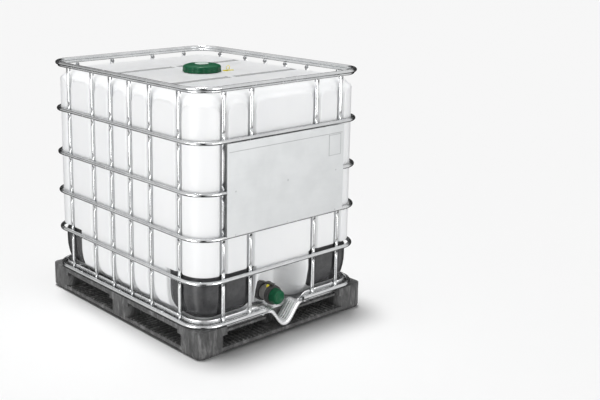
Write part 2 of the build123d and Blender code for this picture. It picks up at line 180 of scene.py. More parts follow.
TUBE = zinc("zinc_tube", (0.76, 0.77, 0.775), (0.62, 0.63, 0.64), 0.15, (1, 1, 0.1))
SHEET = zinc("zinc_sheet", (0.88, 0.885, 0.89), (0.78, 0.785, 0.79), 0.26, (0.15, 1, 1), 0.9, 0.012)
PLATE = zinc("zinc_plate", (0.72, 0.735, 0.74), (0.66, 0.675, 0.68), 0.40, (0.1, 1, 1), 0.45, 0.05)
# darker copy of the plate zinc for its pressed lines: painted shade
PLATE_PAINTED_SHADE = zinc("zinc_plate_painted_shade", (0.50, 0.51, 0.515), (0.45, 0.46, 0.465), 0.40, (0.1, 1, 1), 0.4, 0.05)
# darkened copy of the tube zinc for the post ends: painted dark reflection
CRIMP_PAINTED_DARK = zinc("zinc_crimp_painted_dark_reflection", (0.30, 0.305, 0.31), (0.20, 0.205, 0.21), 0.30)
BOLT = zinc("zinc_bolt", (0.62, 0.63, 0.64), (0.5, 0.51, 0.52), 0.3)
BOTTLE = hdpe("natural_hdpe")
# darker copy of the bottle plastic for the faces sunk in the top grooves: painted shade
GROOVE_PAINTED_SHADE = hdpe("natural_hdpe_groove_painted_shade", 0.34)
PALLET = recycled("recycled_black")
# lighter copy of the pallet plastic for the runner ribs: painted highlight
RIB_PAINTED_HIGHLIGHT = recycled("recycled_ribs_painted_highlight", 1.7)
GUARD = moulded("guard_black", (0.058, 0.058, 0.060), (0.038, 0.038, 0.040), 0.22, 0.0005)
GREEN = moulded("green", (0.004, 0.112, 0.046), (0.003, 0.078, 0.031), 0.34, specular=0.22)
YELLOW = moulded("yellow", (0.98, 0.86, 0.06), (0.94, 0.78, 0.05), 0.35)
VENT = moulded("vent_white", (0.70, 0.80, 0.75), (0.64, 0.75, 0.69), 0.42)
VALVE = moulded("valve_grey", (0.30, 0.29, 0.275), (0.22, 0.212, 0.20), 0.42, 0.0008)
BLACK = moulded("valve_black", (0.060, 0.058, 0.056), (0.042, 0.041, 0.040), 0.40, 0.0008)
RUBBER = moulded("seal_rubber", (0.03, 0.03, 0.03), (0.02, 0.02, 0.02), 0.6, 0.0006)

BY_NODE = {
    "label_plate": PLATE,
    "base_pan": SHEET,
    "drip_trough": SHEET,
    "frame_bolts": BOLT,
    "plate_rivets": BOLT,
    "bottle": BOTTLE,
    "lid": GREEN,
    "outlet_cap": GREEN,
    "lid_seal_tag": YELLOW,
    "lever_lock_plug": YELLOW,
    "vent_plug": VENT,
    "valve_body": VALVE,
    "valve_disc": VALVE,
    "valve_stem": BOLT,
    "union_nut": BLACK,
    "valve_collar": BLACK,
    "valve_lever": BLACK,
}
BY_START = {
    "post_": TUBE,
    "hoop_": TUBE,
    "top_rim": TUBE,
    "bottom_rail": TUBE,
    "pallet_": PALLET,
    "corner_guard": GUARD,
}


def finish_of(node):
    """The material of a CAD node, by its name."""
    if node in BY_NODE:
        return BY_NODE[node]
    for start, made in BY_START.items():
        if node.startswith(start):
            return made
    return RUBBER


for node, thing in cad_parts.items():
    thing.data.materials.clear()
    thing.data.materials.append(finish_of(node))


# ------------------------------------------------------------- mesh building
def piece(name, points, faces, finish, body, nodes=(), smooth=True):
    """A mesh piece in metres that rides on a body and may stand for CAD nodes."""
    mesh = bpy.data.meshes.new(name)
    mesh.from_pydata([tuple(map(float, p)) for p in points], [], faces)
    mesh.materials.append(finish)
    mesh.polygons.foreach_set("use_smooth", [smooth] * len(mesh.polygons))
    mesh.update()
    made = bpy.data.objects.new(name, mesh)
    bpy.context.collection.objects.link(made)
    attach(made, body)
    if nodes:
        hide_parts(*nodes)
    return made


def grid_faces(rows, columns, closed=True, first=0):
    """Quads over a grid of points stored row by row; closed joins the last column to the first."""
    faces = []
    for row in range(rows - 1):
        for column in range(columns if closed else columns - 1):
            after = (column + 1) % columns
            here = first + row * columns
            faces.append((here + column, here + after, here + columns + after, here + columns + column))
    return faces


def smooth_step(value):
    """0 to 1 with flat ends."""
    value = np.clip(value, 0, 1)
    return value * value * (3 - 2 * value)


def thicken(made, thickness, offset):
    """Gives a sheet its thickness; offset -1 is inwards and 1 outwards."""
    skin = made.modifiers.new("thickness", "SOLIDIFY")
    skin.thickness = thickness
    skin.offset = offset


def lathe(name, profile, finish, body, centre, along, segments=64, nodes=(), wave=None):
    """A turned piece. Profile points are (distance along the axis, radius); wave scales the radius."""
    along = Vector(along).normalized()
    side = along.orthogonal().normalized()
    other = along.cross(side)
    points = []
    for reach, radius in profile:
        for step in range(segments):
            angle = 2 * pi * step / segments
            spread = radius * (wave(angle, reach) if wave else 1)
            points.append(Vector(centre) + along * reach + (side * cos(angle) + other * sin(angle)) * spread)
    faces = grid_faces(len(profile), segments)
    return piece(name, points, faces, finish, body, nodes)


post_nodes = [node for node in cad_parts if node.startswith("post_")]


def middle(node):
    """The middle of a CAD node's box."""
    lowest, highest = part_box(node)
    return (Vector(lowest) + Vector(highest)) / 2


# --------------------------------------------------------------------- bottle
BOTTLE_X, BOTTLE_Y = 0.477, 0.577  # half sizes over the panels
BOTTLE_CORNER = 0.105
FLUTE_DEPTH = 0.015
GUARD_DEPTH = 0.021  # where the corner guards lie
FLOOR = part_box("bottle")[0][2]
TOP = 1.120
SHOULDER = 0.054
HEEL = 0.060
GUARD_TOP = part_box("corner_guard_front_left")[1][2]
GUARD_X = 0.165
GUARD_Y = 0.350
VALVE_AXIS = 0.152  # height of the outlet
GROOVE_Y = 0.212  # middle of each groove across the top
GROOVE_DEPTH, GROOVE_PITCH = 0.0065, 0.016
RECESS_WALL = -0.416  # back of the recess over the valve
RECESS_HALF, RECESS_TOP, RECESS_CORNER, RECESS_BLEND = 0.168, 0.338, 0.085, 0.082


class Outline:
    """A rounded rectangle walked by distance from the middle of the front, to the right."""

    def __init__(self, half_x, half_y, corner):
        self.half = (half_x, half_y)
        self.corner = corner
        run_x, run_y, turn = half_x - corner, half_y - corner, pi / 2 * corner
        self.legs = [run_x, turn, 2 * run_y, turn, 2 * run_x, turn, 2 * run_y, turn, run_x]
        self.total = sum(self.legs)

    def at(self, walked):
        """Point and outward normal at a distance walked."""
        half_x, half_y = self.half
        corner = self.corner
        run_x, run_y = half_x - corner, half_y - corner
        starts = [
            ((0, -half_y), (1, 0)),
            ((run_x, -run_y), -pi / 2),
            ((half_x, -run_y), (0, 1)),
            ((run_x, run_y), 0),
            ((run_x, half_y), (-1, 0)),
            ((-run_x, run_y), pi / 2),
            ((-half_x, run_y), (0, -1)),
            ((-run_x, -run_y), pi),
            ((-run_x, -half_y), (1, 0)),
        ]
        walked %= self.total
        for leg, (start, way) in zip(self.legs, starts):
            if walked <= leg + 1e-12:
                break
            walked -= leg
        if isinstance(way, tuple):
            point = (start[0] + way[0] * walked, start[1] + way[1] * walked)
            return point, (way[1], -way[0])
        angle = way + walked / corner
        normal = (cos(angle), sin(angle))
        return (start[0] + corner * normal[0], start[1] + corner * normal[1]), normal

    def walk_to(self, x, y):
        """Distance walked to the side point next to (x, y)."""
        half_x, half_y = self.half
        run_x, run_y, turn = half_x - self.corner, half_y - self.corner, pi / 2 * self.corner
        if abs(y) / half_y > abs(x) / half_x:
            if y < 0:
                return x % self.total
            return run_x + turn + 2 * run_y + turn + run_x - x
        if x > 0:
            return run_x + turn + run_y + y
        return run_x + 3 * turn + 2 * run_y + 2 * run_x + run_y - y


outline = Outline(BOTTLE_X, BOTTLE_Y, BOTTLE_CORNER)
post_walks = sorted(outline.walk_to(middle(node).x, middle(node).y) for node in post_nodes)


def bottle_columns():
    """Distances round the bottle, close together where the wall changes fast."""
    stops = set()
    for walk in post_walks:
        for off in (0, 5, 9, 12, 15, 18, 21, 24, 27, 31, 37):
            stops.add(round((walk + off * MM) % outline.total, 5))
            stops.add(round((walk - off * MM) % outline.total, 5))
    for reach in range(60, 182, 4):
        stops.add(round(reach * MM, 5))
        stops.add(round(outline.total - reach * MM, 5))
    for side_x in (-1, 1):
        for reach in (335, 338, 341, 344, 347, 352):
            for side_y in (-1, 1):
                stops.add(round(outline.walk_to(side_x * BOTTLE_X, side_y * reach * MM), 5))
    for reach in (150, 154, 157, 160, 164, 168):
        for side_x in (-1, 1):
            stops.add(round(outline.walk_to(side_x * reach * MM, BOTTLE_Y), 5))
    ordered = sorted(stops)
    filled = []
    for here, after in zip(ordered, ordered[1:] + [ordered[0] + outline.total]):
        count = max(1, int(np.ceil((after - here) / 0.012)))
        filled += [here + (after - here) * step / count for step in range(count)]
    return filled


def bottle_levels():
    """Heights up the wall, from the heel to the start of the shoulder."""
    heel = [FLOOR + HEEL * (1 - cos(radians(a))) for a in range(0, 90, 11)]
    parts = [
        heel,
        np.arange(FLOOR + HEEL, 0.330, 0.006),
        np.arange(0.330, 0.362, 0.003),
        np.arange(0.362, 1.020, 0.028),
        np.arange(1.020, TOP - SHOULDER, 0.004),
    ]
    return np.concatenate(parts)


def panel_rise(walk, z):
    """How far, 0 to 1, the wall stands out from the flutes into its panels."""
    half_way = outline.total / 2
    ways = np.array([(walk - post + half_way) % outline.total - half_way for post in post_walks])
    left = ways[ways >= 0].min() if (ways >= 0).any() else 1
    right = -ways[ways < 0].max() if (ways < 0).any() else 1
    across = min(left, right) - 0.010
    up = min(1.094 - z, z - 0.152)
    turn = 0.060 if z > 0.5 else 0.045
    if across < turn and up < turn:
        inside = turn - hypot(turn - across, turn - up)
    else:
        inside = min(across, up)
    return float(smooth_step(inside / 0.017))


def guard_cover(x, y, z):
    """1 where the wall is set back for a corner guard, 0 elsewhere."""
    over = min(GUARD_TOP + 0.005 - z, max(abs(x) - GUARD_X + 0.006, 0) if abs(y) > 0.5 else 1)
    beside = abs(y) - GUARD_Y + 0.006 if abs(x) > 0.4 and abs(y) < 0.5 else 1
    return float(smooth_step(min(over, beside) / 0.006))


def taper_in(z):
    """How far the wall and the guards draw in towards their feet."""
    return 0.024 * max((0.262 - z) / 0.112, 0) ** 2 if z > 0.15 else 0.024 + (0.15 - z) * 0.43


def groove_sink(x, y):
    """Depth of the two split grooves across the top."""
    across = abs(abs(y) - GROOVE_Y)
    reach = abs(x)
    inside = min(0.024 - across, reach - 0.012, 0.398 - reach)
    sunk = GROOVE_DEPTH * float(smooth_step(inside / 0.005))
    rib = 0.0029 * (1 + cos(2 * pi * across / GROOVE_PITCH)) * float(smooth_step((inside - 0.002) / 0.005))
    return sunk - rib


def make_bottle():
    """The bottle's wall, shoulder and valve recess as one skin, closed at the floor and turned in under the
    top.
    """
    walks = bottle_columns()
    points = []
    levels = bottle_levels()
    arcs = [radians(a) for a in range(0, 91, 6)]
    rows = [(z, 0.0) for z in levels]
    rows += [(TOP - SHOULDER + SHOULDER * sin(a), SHOULDER * (1 - cos(a))) for a in arcs]
    for z, tuck in rows:
        heel = 0.0
        if z < FLOOR + HEEL:
            up = 1 - (z - FLOOR) / HEEL
            heel = HEEL * (1 - (1 - up * up) ** 0.5)
        low_wall = float(smooth_step((0.352 - z) / 0.010))
        for walk in walks:
            (x, y), (out_x, out_y) = outline.at(walk)
            base = FLUTE_DEPTH + (GUARD_DEPTH - FLUTE_DEPTH) * low_wall
            rise = panel_rise(walk, z) * (1 - guard_cover(x, y, z))
            rise *= float(smooth_step((z - 0.150) / 0.010))
            inset = base * (1 - rise) + tuck + heel + taper_in(z)
            px, py = x - out_x * inset, y - out_y * inset
            if y < -0.5 and abs(x) < 0.175 and z < 0.345:
                across = RECESS_HALF - abs(x)
                up = (RECESS_TOP - z) * 0.72
                turn = RECESS_CORNER
                if across < turn and up < turn:
                    inside = turn - hypot(turn - across, turn - up)
                else:
                    inside = min(across, up)
                sunk = float(smooth_step(inside / RECESS_BLEND))
                py += (RECESS_WALL - py) * sunk
            points.append((px, py, z))
    # a narrow lip turns in under the edge of the top
    lip = [(px * 0.985, py * 0.985, TOP - 0.0012) for px, py, _ in points[-len(walks):]]
    points += lip
    faces = grid_faces(len(rows) + 1, len(walks))
    faces.append(tuple(range(len(walks)))[::-1])
    return piece("bottle_skin", points, faces, BOTTLE, ROOT, ["bottle"])


def make_bottle_top():
    """The top between the shoulders: two grooves with ribs along them, their sunk faces painted darker as
    shade, and the hole for the neck.
    """
    half_x, half_y = BOTTLE_X - FLUTE_DEPTH - SHOULDER, BOTTLE_Y - FLUTE_DEPTH - SHOULDER
    corner = BOTTLE_CORNER - FLUTE_DEPTH - SHOULDER
    hole = 0.0775
    lines = set(np.round(np.arange(-half_y, half_y, 0.012), 5)) | {half_y}
    lines |= {round(side * (GROOVE_Y + off * MM), 5) for side in (-1, 1) for off in np.arange(-30, 30.1, 1.5)}
    lines |= set(np.round(np.linspace(-hole, hole, 49), 5))
    for a in range(0, 90, 10):
        turned = half_y - corner * (1 - sin(radians(a)))
        lines |= {round(side * turned, 5) for side in (-1, 1)}
    lines = sorted(lines)
    near, far = 0.06, 0.86  # shares of the way from the hole to the edge, with finer steps outside them
    shares = np.concatenate(
        [np.linspace(0, near, 5)[:-1], np.linspace(near, far, 50)[:-1], np.linspace(far, 1, 12)]
    )
    points = []
    for side in (-1, 1):
        for y in lines:
            over = max(abs(y) - (half_y - corner), 0)
            edge = half_x - corner + max(corner * corner - over * over, 0) ** 0.5
            start = max(hole * hole - y * y, 0) ** 0.5
            for share in shares:
                x = side * (start + (edge - start) * share)
                points.append((x, y, TOP + 0.0001 - groove_sink(x, y)))
    count = len(lines) * len(shares)
    faces = [face[::-1] for face in grid_faces(len(lines), len(shares), closed=False)]
    faces += grid_faces(len(lines), len(shares), closed=False, first=count)
    faces = [face for face in faces if len({tuple(np.round(points[corner_], 7)) for corner_ in face}) > 2]
    made = piece("bottle_top", points, [face[::-1] for face in faces], BOTTLE, ROOT)
    # faces sunk more than 1.8 mm take the darker copy: painted shade in the grooves
    made.data.materials.append(GROOVE_PAINTED_SHADE)
    for polygon in made.data.polygons:
        if max(TOP - points[spot][2] for spot in polygon.vertices) > 0.0018:
            polygon.material_index = 1
    return made


def make_neck():
    """Filler neck with its screw thread, and the outlet spout."""
    pitch, crest, root = 0.007, 0.0826, 0.0800
    lowest, highest = TOP - 0.001, 1.148
    segments, rows = 96, 60
    points = []
    for row in range(rows + 1):
        z = lowest + (highest - lowest) * row / rows
        for step in range(segments):
            angle = 2 * pi * step / segments
            turns = ((z - pitch * angle / (2 * pi)) / pitch) % 1
            ridge = float(smooth_step(1 - abs(turns - 0.5) / 0.32))
            ends = float(smooth_step((z - 1.126) / 0.003) * smooth_step((1.146 - z) / 0.003))
            radius = root + (crest - root) * ridge * ends + 0.004 * float(smooth_step((1.123 - z) / 0.004))
            points.append((radius * cos(angle), radius * sin(angle), z))
    inner = [(0.0790, highest), (0.0735, highest), (0.0725, highest - 0.002), (0.0725, TOP - 0.006)]
    inner += [(0.0775, TOP - 0.008), (0.0776, TOP)]
    for radius, z in inner:
        for step in range(segments):
            angle = 2 * pi * step / segments
            points.append((radius * cos(angle), radius * sin(angle), z))
    faces = grid_faces(rows + 1 + len(inner), segments)
    piece("bottle_neck", points, faces, BOTTLE, ROOT)
    spout = [(-0.012, 0.036), (0.004, 0.031), (0.026, 0.031), (0.026, 0.025), (-0.012, 0.025)]
    lathe("bottle_spout", spout, BOTTLE, ROOT, (0, RECESS_WALL, VALVE_AXIS), (0, -1, 0), 48)


# ------------------------------------------------------------------ cage posts
hoop_levels = [middle(f"hoop_{number}").z for number in range(1, 5)]
TUBE_RADIUS = 0.009


def make_post(node):
    """A post with the dents of its welds above and below each hoop and near its foot, and a pinched top end.
    """
    place = middle(node)
    lowest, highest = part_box(node)
    on_side = "left" in node or "right" in node
    out = Vector((1 if place.x > 0 else -1, 0)) if on_side else Vector((0, 1 if place.y > 0 else -1))
    side = Vector((-out.y, out.x))
    dents = [(level + off, 0.0062, 0.017) for level in hoop_levels for off in (-0.030, 0.030)]
    dents.append((lowest[2] + 0.030, 0.0062, 0.017))
    rows = {lowest[2], highest[2]}
    for centre, depth, reach in dents:
        for off in (-1, -0.75, -0.5, -0.25, 0, 0.25, 0.5, 0.75, 1):
            rows.add(centre + off * reach)
    for off in (0.003, 0.008, 0.014, 0.020, 0.028, 0.036, 0.046, 0.058):
        rows.add(highest[2] - off)
    points = []
    segments = 24
    ordered = sorted(rows)
    for z in ordered:
        pinch = float(smooth_step((z - highest[2] + 0.040) / 0.026))
        for step in range(segments):
            angle = 2 * pi * step / segments
            outwards, sideways = TUBE_RADIUS * cos(angle), TUBE_RADIUS * sin(angle)
            for centre, depth, reach in dents:
                near = max(0.0, 1 - abs(z - centre) / reach)
                limit = TUBE_RADIUS - depth * near
                if outwards > limit:
                    outwards = limit
                    sideways *= 1 + 0.06 * near
            outwards = outwards * (1 - 0.62 * pinch) + 0.0045 * pinch
            sideways *= 1 + 0.30 * pinch
            spot = Vector((place.x, place.y)) + out * outwards + side * sideways
            points.append((spot.x, spot.y, z))
    faces = grid_faces(len(ordered), segments)
    faces.append(tuple(range(segments))[::-1])
    last = (len(ordered) - 1) * segments
    faces.append(tuple(range(last, last + segments)))
    return piece(f"{node}_tube", points, faces, TUBE, ROOT, [node])


# --------------------------------------------------------------- corner guards
def make_guard(node):
    """A corner guard: raised panels between the posts, a dark border and round lower ends."""
    place = middle(node)
    side_x, side_y = (1 if place.x > 0 else -1), (1 if place.y > 0 else -1)
    shell = Outline(0.461, 0.561, 0.096)
    low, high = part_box(node)[0][2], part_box(node)[1][2]
    start, end = 0.165, shell.walk_to(0.461, -0.350)
    stops = {start, end}
    posts = []
    for post in post_nodes:
        spot = middle(post)
        if spot.x * side_x > 0 and spot.y * side_y > 0:
            walk = shell.walk_to(abs(spot.x), -abs(spot.y))
            if start < walk < end:
                posts.append(walk)
    for post in posts:
        for off in (-27, -24, -21, -18, -15, -12, -9, 0, 9, 12, 15, 18, 21, 24, 27):
            stops.add(post + off * MM)
    for off in (0.5, 1.2, 2.5, 4, 7, 10, 14, 18, 22, 26, 30, 34, 38, 43, 48, 54, 60):
        stops |= {start + off * MM, end - off * MM}
    stops = sorted(stop for stop in stops if start <= stop <= end)
    walks = []
    for here, after in zip(stops, stops[1:]):
        count = max(1, int(np.ceil((after - here) / 0.010)))
        walks += [here + (after - here) * step / count for step in range(count)]
    walks.append(end)
    shares = [0, 0.006, 0.02, 0.04, 0.06, 0.08, 0.10, 0.12, 0.14, 0.17, 0.2, 0.3, 0.45, 0.6, 0.7, 0.76]
    shares += [0.80, 0.83, 0.86, 0.89, 0.92, 0.945, 0.965, 0.975, 0.985, 1.0]
    points = []
    for share in shares:
        for walk in walks:
            (x, y), (out_x, out_y) = shell.at(walk)
            from_end = min(walk - start, end - walk)
            turn = 0.060
            lift = turn - max(turn * turn - max(turn - from_end, 0) ** 2, 0) ** 0.5
            bottom = low + lift
            z = bottom + (high - bottom) * share
            near = min([abs(walk - post) for post in posts], default=1)
            inside = min(near - 0.012, from_end - 0.012, z - bottom - 0.012, high - 0.016 - z)
            rise = 0.0075 * float(smooth_step(inside / 0.013))
            lip = 0.0045 * float(smooth_step((z - (high - 0.007)) / 0.003))
            lip *= float(smooth_step((near - 0.010) / 0.004))
            heel = 0.0035 * (1 - float(smooth_step((z - bottom) / 0.004)))
            edge = 0.0030 * (1 - float(smooth_step(from_end / 0.003)))
            shift = rise + lip - heel - edge - taper_in(z)
            points.append((side_x * (x + out_x * shift), -side_y * (y + out_y * shift), z))
    faces = grid_faces(len(shares), len(walks), closed=False)
    if side_x * side_y > 0:
        faces = [face[::-1] for face in faces]
    made = piece(f"{node}_shell", points, faces, GUARD, ROOT, [node])
    thicken(made, 0.0035, -1)
    return made


# --------------------------------------------------------- pan and drip trough
PAN_X, PAN_Y, PAN_CORNER = 0.470, 0.570, 0.105
PAN_FLOOR, PAN_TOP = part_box("base_pan")[0][2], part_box("base_pan")[1][2]
DECK_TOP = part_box("pallet_deck")[1][2]
TROUGH_HALF = 0.100
TROUGH_CUT = 0.524  # the pan's floor ends at this distance in front of the middle


def make_pan():
    """The pan's upright band with its slots at the posts, its rounded foot and its floor."""
    rim = Outline(PAN_X, PAN_Y, PAN_CORNER)
    slots = sorted(rim.walk_to(middle(node).x, middle(node).y) for node in post_nodes)
    stops = {TROUGH_HALF, rim.total - TROUGH_HALF}
    for slot in slots:
        for off in (-14.2, -14, -12.5, -11, 11, 12.5, 14, 14.2):
            stops.add((slot + off * MM) % rim.total)
    for reach in range(100, 180, 8):
        stops |= {reach * MM, rim.total - reach * MM}
    ordered = sorted(stops)
    walks = []
    for here, after in zip(ordered, ordered[1:]):
        count = max(1, int(np.ceil((after - here) / 0.016)))
        walks += [here + (after - here) * step / count for step in range(count)]
    walks.append(ordered[-1])
    walks = [walk for walk in walks if TROUGH_HALF - 1e-6 <= walk <= rim.total - TROUGH_HALF + 1e-6]
    foot = 0.014
    points = []
    for walk in walks:
        (x, y), (out_x, out_y) = rim.at(walk)
        near = min(abs((walk - slot + rim.total / 2) % rim.total - rim.total / 2) for slot in slots)
        cut = 1 - float(smooth_step((near - 0.0125) / 0.0017))
        edge_walk = min(walk, rim.total - walk)
        dip = 1 - float(smooth_step((edge_walk - TROUGH_HALF) / 0.055))
        top = PAN_TOP - (PAN_TOP - DECK_TOP - 0.004) * cut
        top = min(top, PAN_TOP - 0.026 * dip)
        profile = [(0.06, PAN_FLOOR), (foot, PAN_FLOOR)]
        for angle in (30, 60, 90):
            turn = radians(angle)
            profile.append((foot * (1 - sin(turn)), PAN_FLOOR + foot * (1 - cos(turn))))
        straight = PAN_FLOOR + foot
        for share in (0.25, 0.5, 0.75, 0.9):
            profile.append((0.0, straight + (top - straight) * share))
        profile += [(0.0004, top - 0.001), (0.0014, top), (0.0026, top - 0.0006), (0.003, top - 0.003)]
        for inset, z in profile:
            points.append((x - out_x * inset, y - out_y * inset, z))
    columns = len(profile)
    faces = grid_faces(len(walks), columns, closed=False)
    band = piece("base_pan_band", points, faces, SHEET, ROOT, ["base_pan"])
    thicken(band, 0.0010, 1)
    half_x, half_y = PAN_X - 0.05, PAN_Y - 0.05
    front = -TROUGH_CUT
    corners = ((-half_x, front), (half_x, front), (half_x, half_y), (-half_x, half_y))
    floor = [(x, y, PAN_FLOOR) for x, y in corners]
    base = piece("base_pan_floor", floor, [(0, 1, 2, 3)], SHEET, ROOT)
    thicken(base, 0.0008, -1)


def make_trough():
    """The V-shaped drip trough: ears on the rail, ribs that follow the V, and a folded front edge."""
    ear = DECK_TOP - 0.0010
    bottom = 0.0335
    path = [(-0.150, ear), (-0.116, ear)]
    for step in range(-22, 23):
        share = step / 22
        soft = (0.5 - 0.5 * cos(pi * abs(share))) ** 1.2
        path.append((0.108 * share, bottom + (ear - bottom) * soft))
    path += [(0.116, ear), (0.150, ear)]
    spots = np.array(path)
    along = np.gradient(spots, axis=0)
    normals = np.stack([-along[:, 1], along[:, 0]], axis=1)
    normals /= np.linalg.norm(normals, axis=1)[:, None]
    flange = 0.017
    lifts = [0.0, 0.004, 0.009, 0.014, 0.0165]
    depths = [-0.5968, -0.5968, -0.5967, -0.5962, -0.594, -0.590]
    depths += list(np.arange(-0.5855, -0.5305, 0.0022)) + [-0.529, -0.527]
    points = []
    for row, y in enumerate(depths):
        lift = lifts[row] if row < len(lifts) else flange
        rib = 0.0036 * (0.5 - 0.5 * cos(2 * pi * (y + 0.590) / 0.0135)) if -0.5905 < y < -0.530 else 0
        for (x, z), (nx, nz) in zip(path, normals):
            inner = float(smooth_step((0.106 - abs(x)) / 0.022))
            rise = (lift + rib) * inner
            points.append((x + nx * rise, y, z + nz * rise))
    faces = grid_faces(len(depths), len(path), closed=False)
    faces = [f for f in faces if not (abs(points[f[0]][0]) > 0.098 and points[f[0]][1] > -0.575)]
    made = piece("drip_trough_sheet", points, faces, SHEET, ROOT, ["drip_trough"])
    thicken(made, 0.0014, 1)


def bars(name, boxes, finish):
    """Many small blocks with bevelled tops in one mesh; each is (low corner, high corner)."""
    points, faces = [], []
    for (x0, y0, z0), (x1, y1, z1) in boxes:
        first = len(points)
        edge = min(x1 - x0, y1 - y0, z1 - z0) * 0.3
        for grow, z in ((0, z0), (0, z1 - edge), (edge, z1)):
            points += [(x0 + grow, y0 + grow, z), (x1 - grow, y0 + grow, z)]
            points += [(x1 - grow, y1 - grow, z), (x0 + grow, y1 - grow, z)]
        faces.append((first + 3, first + 2, first + 1, first))
        faces += grid_faces(3, 4, first=first)
        faces.append((first + 8, first + 9, first + 10, first + 11))
    return piece(name, points, faces, finish, ROOT, smooth=False)


def make_runner_ribs():
    """Ribs across the tops of the pallet's runners, in a lighter copy of the pallet plastic: painted
    highlight on the ribs.
    """
    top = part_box("pallet_base_frame")[1][2]
    boxes = []
    pitch, half_rib, half_run = 0.0225, 0.003, 0.050
    sunk, proud = top - 0.001, top + 0.004
    for step in range(-15, 16):
        x = step * pitch
        if abs(x) > 0.075:
            for y in (-0.545, 0.545):
                low = (x - half_rib, y - half_run, sunk)
                boxes.append((low, (x + half_rib, y + half_run, proud)))
    for step in range(-19, 20):
        y = step * pitch
        if abs(y) > 0.085:
            for x in (-0.445, 0.445):
                low = (x - half_run, y - half_rib, sunk)
                boxes.append((low, (x + half_run, y + half_rib, proud)))
    bars("pallet_runner_ribs_painted_highlight", boxes, RIB_PAINTED_HIGHLIGHT)


def make_crimps():
    """Rings round the pinched ends of the posts under the rim, in darkened zinc as a painted dark reflection.
    """
    for node in post_nodes:
        place = middle(node)
        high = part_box(node)[1][2]
        profile = [(0.0, 0.0080), (0.001, 0.0094), (0.008, 0.0092), (0.012, 0.0070), (0.013, 0.0)]
        start = (place.x, place.y, high - 0.014)
        lathe(f"{node}_crimp", profile, CRIMP_PAINTED_DARK, ROOT, start, (0, 0, 1), 20)


def make_plate_marks():
    """A fold line and a framed corner pressed into the label plate, in darker zinc as painted shade along the
    pressed lines.
    """
    (x0, y0, _), (x1, _, z1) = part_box("label_plate")
    front = y0 - 0.0002
    boxes = [((x0 + 0.010, front, z1 - 0.0385), (x1 - 0.010, front + 0.0008, z1 - 0.0355))]
    left, right, low, high = x1 - 0.096, x1 - 0.020, z1 - 0.138, z1 - 0.042
    boxes.append(((left, front, low), (left + 0.0026, front + 0.0008, high)))
    boxes.append(((right - 0.0026, front, low), (right, front + 0.0008, high)))
    boxes.append(((left, front, low), (right, front + 0.0008, low + 0.0026)))
    boxes.append(((left, front, high - 0.0026), (right, front + 0.0008, high)))
    bars("label_plate_marks_painted_shade", boxes, PLATE_PAINTED_SHADE)


def make_lid():
    """The screw lid: scalloped grips round the rim and a domed, bevelled top."""
    low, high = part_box("lid")
    base, top = low[2], high[2]
    radius = 0.0925

    def grips(angle, reach):
        scallop = abs(cos(6 * angle)) ** 0.5
        fade = float(smooth_step((top - base - 0.006 - reach) / 0.006))
        return 1 - 0.050 * (1 - scallop) * fade

    rise = top - base
    profile = [(0.0, 0.0836), (0.0, radius - 0.002), (0.0015, radius), (0.006, radius)]
    profile += [(reach, radius - 0.0012) for reach in (0.010, 0.016, 0.021)]
    profile += [(0.0255, radius - 0.002), (0.0285, radius - 0.0045), (rise - 0.004, radius - 0.012)]
    profile += [(rise - 0.0015, radius - 0.019), (rise - 0.0002, radius - 0.028), (rise - 0.0002, 0.052)]
    profile += [(rise - 0.002, 0.049), (rise - 0.002, 0.0365)]
    profile += [(rise - 0.0002, 0.0345), (rise - 0.0002, 0.0256)]
    profile += [(rise - 0.0055, 0.0255), (rise - 0.0055, 0.0834), (0.0, 0.0834)]
    lathe("lid_shell", profile, GREEN, "lid", (0, 0, base), (0, 0, 1), 144, ["lid"], wave=grips)


def make_outlet_cap():
    """The outlet's screw cap: eight flats with soft corners and a sunk face."""
    low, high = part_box("outlet_cap")
    start, end = high[1], low[1]
    radius = 0.0368

    def flats(angle, reach):
        turn = (angle + pi / 8) % (pi / 4) - pi / 8
        flat = 0.945 / max(cos(turn), 0.93)
        return 1 if reach < 0.0035 else min(flat, 1.0)

    reach = start - end
    profile = [(0.0, 0.0304), (0.0, radius), (0.003, radius), (0.0036, radius)]
    profile += [(reach - 0.007, radius - 0.0018), (reach - 0.0035, radius - 0.0030)]
    profile += [(reach - 0.0012, radius - 0.0058), (reach, radius - 0.0085)]
    profile += [(reach, 0.0225), (reach - 0.0012, 0.0215), (reach - 0.0012, 0.0)]
    centre, along = (0, start, VALVE_AXIS), (0, -1, 0)
    lathe("outlet_cap_shell", profile, GREEN, "outlet_cap", centre, along, 128, ["outlet_cap"], wave=flats)


def make_lock_plug():
    """The bright plug that locks the lever."""
    (x0, y0, z0), (x1, y1, z1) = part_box("lever_lock_plug")
    radius = 0.0075
    tall = z1 - z0 + 0.004
    profile = [(0.0, 0.0), (0.0, radius), (tall * 0.55, radius), (tall * 0.82, radius * 0.86)]
    profile += [(tall, radius * 0.5), (tall, 0.0)]
    foot = ((x0 + x1) / 2, (y0 + y1) / 2, z0)
    lathe("lever_lock_plug_cap", profile, YELLOW, ROOT, foot, (0, 0, 1), 24, ["lever_lock_plug"])


def make_seal_loop():
    """The thin yellow loop that ties the lid's tag."""
    place = middle("lid_seal_tag")
    points = []
    loop, wire, height = 0.0105, 0.0014, TOP + 0.0135
    steps, sides = 32, 8
    for turn in np.linspace(0, 2 * pi, steps + 1)[:-1]:
        for around in np.linspace(0, 2 * pi, sides + 1)[:-1]:
            reach = loop + wire * cos(around)
            x, y = place.x + reach * cos(turn), place.y + wire * sin(around)
            points.append((x, y, height + reach * sin(turn)))
    last = (steps - 1) * sides
    faces = grid_faces(steps, sides)
    faces += [(last + c, last + (c + 1) % sides, (c + 1) % sides, c) for c in range(sides)]
    piece("lid_seal_loop", points, faces, YELLOW, ROOT)


